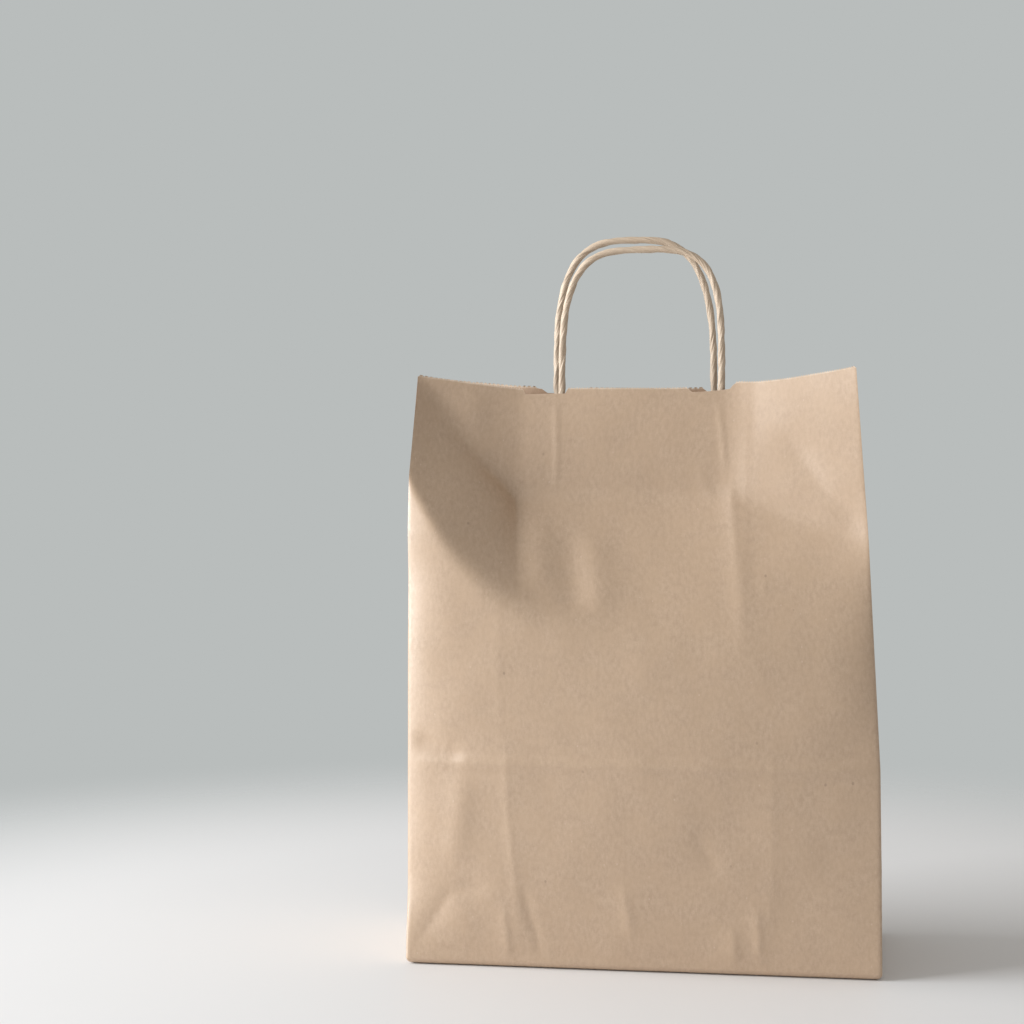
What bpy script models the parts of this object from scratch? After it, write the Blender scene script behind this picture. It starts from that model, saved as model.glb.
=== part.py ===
"""Paper carrier bag with two twisted paper handles, in metres.

The front panel faces -Y, +X is to its right and +Z is up. The bag stands open on its block
bottom. Its body is one folded and glued sheet: front, back, two pleated gussets and the flaps
under the bottom. Each handle is a twisted cord whose ends are glued between two paper strips
on the inside of a panel.
"""

import math

import bmesh
import bpy
import numpy as np

# The sheet
BAG_WIDTH = 0.240
BAG_DEPTH = 0.110
BAG_HEIGHT = 0.3054
PAPER = 0.0002                 # one thickness of sheet
GLUE_GAP = 0.0003              # clearance between pieces that lie face to face
FOLD_RADIUS = 0.0025           # roundness of the fold between a wall and the bottom
LAP_WIDTH = 0.016              # glued lap down the back panel, where the sheet closes
LAP_INSET = 0.008              # from the lap to the corner beside it
FLAP_OVERLAP = 0.036           # how far the two long bottom flaps lie over each other
FLAP_MARGIN = 0.0006           # from a flap to the round of the fold

# Creases that are left from when the bag was folded flat
CREASE_HEIGHT = 0.104          # the bottom was folded up along this line
CREASE_RISE = 0.0008
CREASE_REACH = 0.006           # from the line to where the panel is flat again
CREASE_FADE = 0.020            # the crease dies out over this width beside a corner
PLEAT_RISE = 0.0006            # the pleated gussets pressed a line into each panel
PLEAT_REACH = 0.0105
PLEAT_TOP = 0.140              # height at which that line has faded

# The notches cut in the top edge where the handles come out
NOTCH_DEPTH = 0.0023
NOTCH_WIDTH = 0.0220
NOTCH_SPACING = 0.0864         # between the middles of the two notches
NOTCH_SLANT = 0.0008           # run of the slanted side of a notch

# The handles
CORD_DIAMETER = 0.0036
CORD_LAP = 0.13                # step of the rolled paper, as a share of the radius
CORD_LAPS = 2                  # rolled edges that show round the cord
CORD_TWIST = 0.033             # length of one whole turn
CORD_SIDES = 8
CORD_STEP = 0.0037             # along the cord, between two rings
HANDLE_WIDTH = 0.0830          # between the middles of the legs
CORD_ANCHOR = 0.047            # length of leg that is glued down, below the top edge

# The two paper strips round the ends of a cord
STRIP_WIDTH = 0.116
STRIP_HEIGHT = 0.046
STRIP_TOP = 0.005              # from the top edge down to the strips
STRIP_TAIL = 0.004             # strip below the end of the cord, where the cover lies flat
COVER_SPREAD = 3.0             # half width of the cover's rise over a cord, in cord radii

# How the mouth is drawn in. Heights are measured down from the top edge, depths inward from the
# wall, and left and right are those of someone who looks at the panel from outside.
FRONT_FORM = {
    "mouth_depth": 0.0440,     # of the stiff middle at the top
    "lean_start": 0.1464,      # where the middle and the right side start to lean in
    "kink": 0.0574,            # where the left corner starts to lean in
    "kink_spread": 0.045,      # the start drops from the kink over about this width
    "pinch": 0.0889,           # where the lean of the right corner ends
    "left_flank": 0.0605,      # from the left corner to the stiff middle
    "right_flank": 0.0680,
    "left_corner": 0.0270,     # depth of the top corners
    "right_corner": 0.0165,
    "left_round": 0.0042,      # depth of the left corner at its kink
    "left_round_width": 0.018,
    "right_round": 0.0042,     # depth of the right corner where the lean starts
    "right_round_width": 0.009,
    "belly": 0.0016,
    "left_lift": 0.0033,       # the crumpled paper below lets the stiff middle stand up at its ends
    "left_lift_width": 0.090,
    "right_lift": 0.0024,
    "right_lift_width": 0.040,
    "right_drop": 0.0,         # how much lower the right corner is crumpled
    "notch_shift": -0.0060,    # of the pair of notches, along +X from the middle of the panel
}
BACK_FORM = dict(
    FRONT_FORM,
    mouth_depth=0.0425,
    lean_start=0.1424,
    kink=0.0724,
    pinch=0.0964,
    right_flank=0.0605,
    left_corner=0.0200,
    right_corner=0.0195,
    left_lift=0.0042,
    left_lift_width=0.060,
    right_lift=0.0004,
    right_lift_width=0.090,
    right_drop=0.0022,
    notch_shift=0.0020,
)
LIFT_REACH = 0.035             # from an end of the stiff middle out to where its lift is gone
FOLD_TUCK = 0.0075             # the drawn-in mouth pushes the middle fold of a gusset down by this
TUCK_LENGTH = 0.070            # from the top edge down to where it isn't pushed any more
DROP_REACH = 0.060             # from the right corner in to where its drop is gone
BEND_SOFT = 0.010              # half length of the soft bends in the middle
BEND_SHARP = 0.007             # the same at the left corner
BEND_TOP = 0.005               # the same where the lean ends, below the stiff middle
FLANK_FADE = 0.010             # from the stiff middle to the part of a flank that gives way
FLANK_BLEND = 0.0015           # roundness where a flank meets the stiff middle

# How far the corners are drawn in sideways on their way up, from the full width
KINK_INSET = -0.0004
LEFT_TOP_INSET = 0.0
CREASE_INSET = 0.0013
PINCH_INSET = 0.0071
RIGHT_TOP_INSET = 0.0138

FRONT_HANDLE = {"shift": 0.0008, "rise": 0.0704, "left_power": 3.3, "right_power": 3.8}
REAR_HANDLE = {"shift": -0.0028, "rise": 0.0769, "left_power": 3.3, "right_power": 2.95}

# Mesh
COLUMN_STEP = 0.0150
LEFT_LINES = (0.007, 0.018, 0.034)     # extra columns near a corner, by distance from it
RIGHT_LINES = (0.006, 0.014, 0.026)
ROW_STEP = 0.0170
TOP_ROW = 0.0135               # last row below the top edge, by distance from it
GUSSET_PARTS = 4               # columns in each half of a gusset
COVER_SHARES = (-1, -0.7, -0.4, -0.2, 0, 0.2, 0.4, 0.7, 1)     # columns of the cover over a cord
END_MARGIN = 0.002             # least distance between a strip's end and its next column
FINE_STEP = 0.001              # of the grid on which the sheet's true width is kept
ROUND_ROWS = 3

HALF_WIDTH = BAG_WIDTH / 2
HALF_DEPTH = BAG_DEPTH / 2
BASE_LEVEL = 2 * PAPER         # the side folds lie over two flaps


def bend(distance, radius):
    """A ramp that is 0 below zero and the distance above it, with a round start."""
    inside = (distance + radius) ** 2 / (4 * radius)
    return np.where(distance < -radius, 0.0, np.where(distance > radius, distance, inside))


def ease(value):
    """A smooth step from 0 to 1."""
    value = np.clip(value, 0.0, 1.0)
    return value * value * (3 - 2 * value)


def lesser(a, b, blend):
    """The smaller of two depths, with a round change between them."""
    share = np.clip(0.5 + 0.5 * (b - a) / blend, 0.0, 1.0)
    return b * (1 - share) + a * share - blend * share * (1 - share)


def strip_bottom():
    return BAG_HEIGHT - STRIP_TOP - STRIP_HEIGHT


def peak(distance, reach):
    """1 on a crease, falling evenly to 0 at its reach."""
    return np.clip(1 - np.abs(distance) / reach, 0.0, 1.0)


def corner_round(height, form_depth, full_height):
    """Depth of a corner below its lean. It grows so that the gusset's middle fold runs straight."""
    return form_depth * np.clip((height - HALF_DEPTH) / (full_height - HALF_DEPTH), 0.0, 1.0) ** 2


def crease_depth(from_left, from_right, up):
    """The creases stand out of the panel a little, so their depth is negative."""
    across_line = CREASE_RISE * peak(up - CREASE_HEIGHT, CREASE_REACH)
    across_line = across_line * ease(np.minimum(from_left, from_right) / CREASE_FADE)
    nearest = np.minimum(np.abs(from_left - HALF_DEPTH), np.abs(from_right - HALF_DEPTH))
    fade = ease(up / HALF_DEPTH) * (1 - ease((up - CREASE_HEIGHT) / (PLEAT_TOP - CREASE_HEIGHT)))
    return -across_line - PLEAT_RISE * peak(nearest, PLEAT_REACH) * fade


def height_up(form, name):
    return BAG_HEIGHT - form[name]


def panel_depth(across, up, form):
    """How far a point of a panel lies inward of the flat wall, seen from outside it."""
    from_left = across + HALF_WIDTH
    from_right = HALF_WIDTH - across
    lean_start, kink, pinch = (height_up(form, name) for name in ("lean_start", "kink", "pinch"))
    left_fade = np.exp(-from_left / form["kink_spread"])
    start = lean_start + (kink - lean_start) * left_fade
    flanks = [-HALF_WIDTH, -HALF_WIDTH + form["left_flank"], HALF_WIDTH - form["right_flank"], HALF_WIDTH]
    stiff = strip_bottom() - BEND_TOP
    end = np.interp(across, flanks, [BAG_HEIGHT, stiff, stiff, pinch])
    left_rise = (form["mouth_depth"] - form["left_corner"]) / form["left_flank"]
    right_rise = (form["mouth_depth"] - form["right_corner"]) / form["right_flank"]
    left_limit = form["left_corner"] + left_rise * from_left
    right_limit = form["right_corner"] + right_rise * from_right
    reach = lesser(lesser(left_limit, right_limit, FLANK_BLEND), form["mouth_depth"], FLANK_BLEND)
    radius = BEND_SHARP + (BEND_SOFT - BEND_SHARP) * (1 - left_fade)
    lean = (bend(up - start, radius) - bend(up - end, BEND_TOP)) / (end - start)

    left_round = corner_round(up, form["left_round"], kink)
    right_round = corner_round(up, form["right_round"], lean_start)
    rounds = left_round * np.exp(-from_left / form["left_round_width"])
    rounds = rounds + right_round * np.exp(-from_right / form["right_round_width"])
    height = np.clip(up / lean_start, 0.0, 1.0)
    belly = form["belly"] * (1 - (across / HALF_WIDTH) ** 2) * np.sin(np.pi * height)
    creases = crease_depth(from_left, from_right, up)
    return reach * lean + rounds * (1 - np.clip(lean, 0.0, 1.0)) - belly + creases


def edge_places(up):
    """x of the left and the right corners at heights up the sheet."""
    left_heights = [0.0, height_up(FRONT_FORM, "kink"), BAG_HEIGHT]
    right_heights = [0.0, CREASE_HEIGHT, height_up(FRONT_FORM, "pinch"), BAG_HEIGHT]
    left = np.interp(up, left_heights, [0.0, KINK_INSET, LEFT_TOP_INSET])
    right = np.interp(up, right_heights, [0.0, CREASE_INSET, PINCH_INSET, RIGHT_TOP_INSET])
    return left - HALF_WIDTH, HALF_WIDTH - right


def top_lift(seen, form):
    """How much higher the top edge stands than the leaning sheet alone would hold it."""
    ends = [
        (1, -HALF_WIDTH + form["left_flank"], form["left_lift"], form["left_lift_width"]),
        (-1, HALF_WIDTH - form["right_flank"], form["right_lift"], form["right_lift_width"]),
    ]
    total = -form["right_drop"] * np.clip(1 - (HALF_WIDTH - seen) / DROP_REACH, 0.0, 1.0) ** 2
    for inward, end, height, width in ends:
        beside = (seen - end) * inward
        near = 1 - np.where(beside < 0, -beside / LIFT_REACH, beside / width)
        total = total + height * np.clip(near, 0.0, 1.0) ** 2
    return total


class Panel:
    """The front or back panel. The sheet keeps its width and height where it leans or curves."""

    def __init__(self, form, facing):
        self.facing = facing               # -1 for the front, +1 for the back
        self.notch_shift = form["notch_shift"]
        self.across = np.linspace(-HALF_WIDTH, HALF_WIDTH, 1 + round(BAG_WIDTH / FINE_STEP))
        self.up = np.linspace(0.0, BAG_HEIGHT, 1 + round(BAG_HEIGHT / FINE_STEP))
        grid_across, grid_up = np.meshgrid(self.across, self.up)
        self.depth = panel_depth(-facing * grid_across, grid_up, form)
        slope_up, slope_across = np.gradient(self.depth, self.up, self.across)
        run = self.keep_length(np.sqrt(1 - np.clip(slope_across**2, 0.0, 0.8)), self.across, 1)
        left, right = edge_places(grid_up)
        slack = self.keep_length(self.flank_share(grid_across, form), self.across, 1)
        missing = right - left - run[:, -1:]
        self.x = left + run + missing * slack / slack[:, -1:]
        self.z = self.keep_length(np.sqrt(1 - np.clip(slope_up**2, 0.0, 0.8)), self.up, 0)
        lean_start = height_up(form, "lean_start")
        raised = ease((grid_up - lean_start) / (strip_bottom() - BEND_TOP - lean_start))
        self.z += top_lift(-facing * grid_across, form) * raised

    def flank_share(self, across, form):
        """1 beside the stiff middle and 0 in it, where the sheet never stretches."""
        seen = -self.facing * across
        middle_left = -HALF_WIDTH + form["left_flank"]
        middle_right = HALF_WIDTH - form["right_flank"]
        outside = np.maximum(middle_left - seen, seen - middle_right)
        return 0.001 + ease(outside / FLANK_FADE)

    @staticmethod
    def keep_length(step_share, lines, axis):
        """Adds up the projected steps of a sheet whose own steps are those of the lines."""
        steps = np.diff(lines)
        if axis == 1:
            parts = 0.5 * (step_share[:, 1:] + step_share[:, :-1]) * steps
            return np.concatenate([np.zeros((len(parts), 1)), np.cumsum(parts, axis=1)], axis=1)
        parts = 0.5 * (step_share[1:] + step_share[:-1]) * steps[:, None]
        return np.concatenate([np.zeros((1, parts.shape[1])), np.cumsum(parts, axis=0)], axis=0)

    def sample(self, field, across, up):
        column = np.clip((across + HALF_WIDTH) / BAG_WIDTH * (len(self.across) - 1), 0, len(self.across) - 1.001)
        row = np.clip(up / BAG_HEIGHT * (len(self.up) - 1), 0, len(self.up) - 1.001)
        i, j = int(column), int(row)
        a, b = column - i, row - j
        low = field[j, i] * (1 - a) + field[j, i + 1] * a
        high = field[j + 1, i] * (1 - a) + field[j + 1, i + 1] * a
        return low * (1 - b) + high * b

    def point(self, across, up, inward=0.0):
        depth = self.sample(self.depth, across, up) + inward
        return np.array([
            self.sample(self.x, across, up),
            self.facing * (HALF_DEPTH - depth),
            self.sample(self.z, across, up) + BASE_LEVEL,
        ])


def lines_between(breaks, step):
    """Grid lines on every break, with even ones between them no further apart than a step."""
    lines = [breaks[0]]
    for low, high in zip(breaks, breaks[1:]):
        count = max(1, math.ceil((high - low) / step - 1e-6))
        lines += [low + (high - low) * k / count for k in range(1, count + 1)]
    return lines


def notch_edges(shift):
    edges = []
    for side in (-1, 1):
        middle = shift + side * NOTCH_SPACING / 2
        edges.append((middle - NOTCH_WIDTH / 2, middle + NOTCH_WIDTH / 2))
    return edges


def top_edge(across, shift):
    """Height of the top edge up the sheet, lower in the notches."""
    drop = 0.0
    for low, high in notch_edges(shift):
        inside = min(across - low, high - across) + NOTCH_SLANT / 2
        drop = max(drop, min(1.0, inside / NOTCH_SLANT))
    return BAG_HEIGHT - NOTCH_DEPTH * drop


def panel_columns(shift):
    slant = NOTCH_SLANT / 2
    cuts = []
    for low, high in notch_edges(shift):
        cuts += [low - slant, low + slant, high - slant, high + slant]
    lines = [-HALF_WIDTH + line for line in (*LEFT_LINES, HALF_DEPTH)]
    lines += [HALF_WIDTH - line for line in (*RIGHT_LINES, HALF_DEPTH)]
    clear = [line for line in lines if min(abs(line - cut) for cut in cuts) > END_MARGIN]
    return lines_between(sorted([-HALF_WIDTH, HALF_WIDTH, *cuts, *clear]), COLUMN_STEP)


def sheet_rows():
    """Heights of the rows. The lowest ones pass through the fold lines of the gusset's triangle."""
    fold_step = HALF_DEPTH / GUSSET_PARTS
    lower = [FOLD_RADIUS] + [fold_step * k for k in range(1, GUSSET_PARTS + 1)]
    crease = [CREASE_HEIGHT - CREASE_REACH, CREASE_HEIGHT, CREASE_HEIGHT + CREASE_REACH]
    upper = [HALF_DEPTH] + crease + [height_up(FRONT_FORM, "lean_start"), strip_bottom(), BAG_HEIGHT - TOP_ROW]
    return lower + lines_between(upper, ROW_STEP)[1:] + [BAG_HEIGHT]


def fold_depth(up, spread):
    """How far the middle fold of a gusset lies inward, when its corners have closed to a spread."""
    flank = np.minimum(up, HALF_DEPTH)
    loss = (BAG_DEPTH - spread) / 2
    return np.sqrt(np.maximum(0.0, flank**2 - (flank - loss) ** 2))


def fold_sinks(front, back, side):
    """How far that fold sinks below the corners, by height up the sheet. It keeps its length."""
    ends = [[panel.point(side * HALF_WIDTH, up) for up in front.up] for panel in (front, back)]
    near, far = np.array(ends[0]), np.array(ends[1])
    slope = np.gradient(fold_depth(front.up, far[:, 1] - near[:, 1]), front.up)
    share = np.sqrt(1 - np.clip(slope**2, 0.0, 0.8))[:, None]
    height = Panel.keep_length(share, front.up, 0)[:, 0] + BASE_LEVEL
    tuck = FOLD_TUCK * ease((front.up - BAG_HEIGHT + TUCK_LENGTH) / TUCK_LENGTH)
    return np.maximum(0.0, (near[:, 2] + far[:, 2]) / 2 - height) + tuck


def gusset_point(front, back, share, up, side, sink):
    """A point of a gusset. Its halves keep their width, so it folds in as its corners close."""
    flank = min(up, HALF_DEPTH)
    spread = abs(back[1] - front[1])
    loss = (BAG_DEPTH - spread) / 2
    fold = fold_depth(up, spread)
    sheet = share * BAG_DEPTH
    to_corner = min(sheet, BAG_DEPTH - sheet)
    inward = fold * min(1.0, to_corner / flank)
    shown = min(to_corner, flank) * (flank - loss) / flank + max(0.0, to_corner - flank)
    along = shown / spread if sheet <= HALF_DEPTH else 1 - shown / spread
    point = front * (1 - along) + back * along
    return point - np.array([side * inward, 0.0, sink * min(1.0, to_corner / flank)])


def panel_line(panel, columns, row):
    """Points of a panel along one row. The last row follows the cut top edge."""
    last = row == BAG_HEIGHT
    return [panel.point(s, top_edge(s, panel.notch_shift) if last else row) for s in columns]


def body_rings(front, back, rows):
    """The outer surface, one ring of points for each row, going round by the right gusset."""
    front_columns = panel_columns(front.notch_shift)
    back_columns = panel_columns(back.notch_shift)[::-1]
    shares = [k / (2 * GUSSET_PARTS) for k in range(1, 2 * GUSSET_PARTS)]
    sinks = [fold_sinks(front, back, side) for side in (1, -1)]
    rings = []
    for row in rows:
        right_sink, left_sink = (float(np.interp(row, front.up, sink)) for sink in sinks)
        ring = panel_line(front, front_columns, row)
        ends = [front.point(side * HALF_WIDTH, row) for side in (1, -1)]
        far = [back.point(side * HALF_WIDTH, row) for side in (1, -1)]
        ring += [gusset_point(ends[0], far[0], share, row, 1, right_sink) for share in shares]
        ring += panel_line(back, back_columns, row)
        ring += [gusset_point(ends[1], far[1], share, row, -1, left_sink) for share in reversed(shares)]
        rings.append(ring)
    bottom = []
    for k in range(ROUND_ROWS):
        angle = 0.5 * math.pi * k / ROUND_ROWS
        inset = FOLD_RADIUS * (1 - math.sin(angle))
        level = BASE_LEVEL + FOLD_RADIUS * (1 - math.cos(angle))
        ring = []
        for x, y, _ in rings[0]:
            x = math.copysign(min(abs(x), HALF_WIDTH - inset), x)
            y = math.copysign(min(abs(y), HALF_DEPTH - inset), y)
            ring.append(np.array([x, y, level]))
        bottom.append(ring)
    return bottom + rings


def sheet_material(name, colour, roughness):
    material = bpy.data.materials.new(name)
    material.use_nodes = True
    shader = material.node_tree.nodes["Principled BSDF"]
    shader.inputs["Base Color"].default_value = (*colour, 1.0)
    shader.inputs["Roughness"].default_value = roughness
    shader.inputs["Metallic"].default_value = 0.0
    return material


def add_object(name, mesh_data, material):
    mesh = bpy.data.meshes.new(name)
    mesh_data.to_mesh(mesh)
    mesh_data.free()
    mesh.materials.append(material)
    piece = bpy.data.objects.new(name, mesh)
    bpy.context.collection.objects.link(piece)
    return piece


def closed_sheet(name, outer, thickness, material, level_base):
    """A closed mesh from rings of outer points: the inner skin lies one thickness inside."""
    mesh = bmesh.new()
    rows, count = len(outer), len(outer[0])
    skin = [[mesh.verts.new(point) for point in ring] for ring in outer]
    for j in range(rows - 1):
        for k in range(count):
            after = (k + 1) % count
            mesh.faces.new((skin[j][k], skin[j][after], skin[j + 1][after], skin[j + 1][k]))
    mesh.normal_update()
    inner = []
    for j, ring in enumerate(skin):
        inner_ring = []
        for k, vertex in enumerate(ring):
            offset = vertex.normal * vertex.calc_shell_factor() * thickness(j, k)
            place = vertex.co - offset
            if j == 0:
                place = vertex.co - offset * 0.2
                place.z = level_base + PAPER
            inner_ring.append(mesh.verts.new(place))
        inner.append(inner_ring)
    for j in range(rows - 1):
        for k in range(count):
            after = (k + 1) % count
            mesh.faces.new((inner[j][k], inner[j + 1][k], inner[j + 1][after], inner[j][after]))
    for k in range(count):
        after = (k + 1) % count
        mesh.faces.new((skin[-1][k], skin[-1][after], inner[-1][after], inner[-1][k]))
    mesh.faces.new(list(reversed(skin[0])))
    mesh.faces.new(inner[0])
    bmesh.ops.triangulate(mesh, faces=mesh.faces[:], quad_method="SHORT_EDGE")
    return add_object(name, mesh, material)


def bottom_flap(name, side, reach, level):
    """A long bottom flap from one panel, with 45 degree ends, from a level up into the sheet."""
    edge = side * (HALF_DEPTH - FOLD_RADIUS - FLAP_MARGIN)
    tip = edge - side * reach
    half = HALF_WIDTH - FOLD_RADIUS - FLAP_MARGIN
    outline = [(-half, edge), (half, edge), (half - reach, tip), (-half + reach, tip)]
    mesh = bmesh.new()
    corners = [mesh.verts.new((x, y, level)) for x, y in outline]
    face = mesh.faces.new(corners)
    face.normal_update()
    raised = bmesh.ops.extrude_face_region(mesh, geom=[face])
    for item in raised["geom"]:
        if isinstance(item, bmesh.types.BMVert):
            item.co.z = BASE_LEVEL + PAPER / 2
    bmesh.ops.recalc_face_normals(mesh, faces=mesh.faces[:])
    flap = add_object(name, mesh, kraft)
    flap.hide_render = True
    flap.display_type = "WIRE"
    return flap


def build_body(front, back):
    rings = body_rings(front, back, sheet_rows())
    back_columns = panel_columns(back.notch_shift)[::-1]
    before_back = len(panel_columns(front.notch_shift)) + 2 * GUSSET_PARTS - 1
    lap_low = -HALF_WIDTH + LAP_INSET
    lap_high = lap_low + LAP_WIDTH

    def thickness(j, k):
        index = k - before_back
        if 0 <= index < len(back_columns) and lap_low <= back_columns[index] <= lap_high:
            return 2 * PAPER
        return PAPER

    body = closed_sheet("bag_body", rings, thickness, kraft, BASE_LEVEL)
    full = BAG_DEPTH - 2 * (FOLD_RADIUS + FLAP_MARGIN)
    reach = (full + FLAP_OVERLAP) / 2
    flaps = [
        bottom_flap("front_flap_guide", -1, reach, PAPER),
        bottom_flap("rear_flap_guide", 1, reach, 0.0),
    ]
    for flap in flaps:
        union = body.modifiers.new(flap.name, "BOOLEAN")
        union.operation = "UNION"
        union.solver = "EXACT"
        union.object = flap
    return body


def handle_path(panel, handle):
    """The middle line of a cord: down one leg, over the loop and down the other, evenly spaced."""
    middle = handle["shift"]
    legs = []
    lay = PAPER + 2 * GLUE_GAP + PAPER + CORD_DIAMETER / 2
    foot = BAG_HEIGHT - CORD_ANCHOR
    for side in (-1, 1):
        across = middle + side * HANDLE_WIDTH / 2
        legs.append((panel.point(across, foot, lay), panel.point(across, BAG_HEIGHT, lay)))
    left_top, right_top = legs[0][1], legs[1][1]
    centre = (left_top + right_top) / 2
    half_span = (right_top - left_top) / 2
    loop = []
    for k in range(241):
        angle = math.pi * (1 - k / 240)
        share = 0.5 - 0.5 * math.cos(angle)
        power = handle["right_power"] * (1 - share) + handle["left_power"] * share
        wide = math.copysign(abs(math.cos(angle)) ** (2 / power), math.cos(angle))
        high = abs(math.sin(angle)) ** (2 / power)
        loop.append(centre + half_span * wide + np.array([0.0, 0.0, handle["rise"] * high]))
    points = [legs[0][0]] + loop + [legs[1][0]]
    lengths = [0.0]
    for a, b in zip(points, points[1:]):
        lengths.append(lengths[-1] + float(np.linalg.norm(b - a)))
    count = round(lengths[-1] / CORD_STEP)
    stations = np.linspace(0.0, lengths[-1], count + 1)
    table = np.array(points)
    return np.stack([np.interp(stations, lengths, table[:, axis]) for axis in range(3)], axis=1)


def cord_radius(turn):
    """Radius of the rolled cord, which steps out at each rolled edge."""
    share = (turn / (2 * math.pi) * CORD_LAPS) % 1.0
    return CORD_DIAMETER / 2 * (1 - CORD_LAP * share)


def build_cord(name, panel, handle):
    path = handle_path(panel, handle)
    mesh = bmesh.new()
    rings = []
    length = 0.0
    side_axis = np.array([0.0, 1.0, 0.0])
    for k, place in enumerate(path):
        along = path[min(k + 1, len(path) - 1)] - path[max(k - 1, 0)]
        along = along / np.linalg.norm(along)
        if k:
            length += float(np.linalg.norm(place - path[k - 1]))
        across = np.cross(side_axis, along)
        across = across / np.linalg.norm(across)
        depth_axis = np.cross(along, across)
        ring = []
        for n in range(CORD_SIDES):
            turn = 2 * math.pi * n / CORD_SIDES
            angle = turn + 2 * math.pi * length / CORD_TWIST
            radius = cord_radius(turn)
            ring.append(mesh.verts.new(place + radius * (math.cos(angle) * across + math.sin(angle) * depth_axis)))
        rings.append(ring)
    for low, high in zip(rings, rings[1:]):
        for n in range(CORD_SIDES):
            after = (n + 1) % CORD_SIDES
            mesh.faces.new((low[n], low[after], high[after], high[n]))
    mesh.faces.new(list(reversed(rings[0])))
    mesh.faces.new(rings[-1])
    bmesh.ops.recalc_face_normals(mesh, faces=mesh.faces[:])
    bmesh.ops.triangulate(mesh, faces=mesh.faces[:])
    return add_object(name, mesh, cord_paper)


def drape(distance):
    """Height of the cover over a cord: a round top with straight sides down to the strip."""
    radius = CORD_DIAMETER / 2 + GLUE_GAP + PAPER
    centre = CORD_DIAMETER / 2 + GLUE_GAP
    foot = COVER_SPREAD * CORD_DIAMETER / 2
    reach = math.hypot(foot, centre)
    tilt = math.atan2(centre, foot) + math.asin(min(1.0, radius / reach))
    tangent = radius * math.sin(tilt)
    distance = abs(distance)
    if distance >= foot:
        return 0.0
    if distance >= tangent:
        return (foot - distance) * math.tan(tilt)
    return centre + math.sqrt(radius**2 - distance**2)


def strip_columns(panel, handle, with_cords):
    low = handle["shift"] - STRIP_WIDTH / 2
    high = handle["shift"] + STRIP_WIDTH / 2
    inner = [s for s in panel_columns(panel.notch_shift) if low + END_MARGIN < s < high - END_MARGIN]
    marks = [low, high] + inner
    if with_cords:
        spread = COVER_SPREAD * CORD_DIAMETER / 2
        for side in (-1, 1):
            leg = handle["shift"] + side * HANDLE_WIDTH / 2
            marks = [s for s in marks if abs(s - leg) > spread + END_MARGIN / 2]
            marks += [leg + spread * share for share in COVER_SHARES]
    return sorted(marks)


def build_strip(name, panel, handle, lay, with_cords):
    """A paper strip on the inside of a panel. With cords, it is the cover that drapes over them."""
    top = BAG_HEIGHT - STRIP_TOP
    low = strip_bottom()
    foot = BAG_HEIGHT - CORD_ANCHOR
    rows = [low, foot - STRIP_TAIL / 2, foot - GLUE_GAP, (foot + top) / 2, top]
    legs = [handle["shift"] + side * HANDLE_WIDTH / 2 for side in (-1, 1)]
    mesh = bmesh.new()
    skins = []
    for layer in (0, 1):
        skin = []
        for up in rows:
            line = []
            for across in strip_columns(panel, handle, with_cords):
                rise = 0.0
                if with_cords and up >= foot - GLUE_GAP:
                    rise = max(drape(across - leg) for leg in legs)
                inward = lay + rise + layer * PAPER
                line.append(mesh.verts.new(panel.point(across, up, inward)))
            skin.append(line)
        skins.append(skin)
    near, far = skins
    last_row, last = len(rows) - 1, len(near[0]) - 1
    for j in range(last_row):
        for k in range(last):
            mesh.faces.new((near[j][k], near[j][k + 1], near[j + 1][k + 1], near[j + 1][k]))
            mesh.faces.new((far[j][k], far[j + 1][k], far[j + 1][k + 1], far[j][k + 1]))
        for k in (0, last):
            mesh.faces.new((near[j][k], near[j + 1][k], far[j + 1][k], far[j][k]))
    for k in range(last):
        for j in (0, last_row):
            mesh.faces.new((near[j][k], near[j][k + 1], far[j][k + 1], far[j][k]))
    bmesh.ops.recalc_face_normals(mesh, faces=mesh.faces[:])
    bmesh.ops.triangulate(mesh, faces=mesh.faces[:])
    return add_object(name, mesh, strip_paper)


def build_handle(prefix, panel, handle):
    backing_lay = PAPER + GLUE_GAP
    cover_lay = backing_lay + PAPER + GLUE_GAP
    build_strip(prefix + "_patch_backing", panel, handle, backing_lay, False)
    build_cord(prefix + "_handle", panel, handle)
    build_strip(prefix + "_handle_patch", panel, handle, cover_lay, True)


for old in list(bpy.data.objects):
    bpy.data.objects.remove(old, do_unlink=True)

kraft = sheet_material("kraft_sheet", (0.552, 0.402, 0.283), 0.85)
cord_paper = sheet_material("twisted_paper", (0.66, 0.54, 0.42), 0.80)
strip_paper = sheet_material("kraft_strip", (0.50, 0.36, 0.25), 0.88)

front_panel = Panel(FRONT_FORM, -1)
back_panel = Panel(BACK_FORM, 1)
build_body(front_panel, back_panel)
build_handle("front", front_panel, FRONT_HANDLE)
build_handle("rear", back_panel, REAR_HANDLE)
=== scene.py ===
import math

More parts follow.
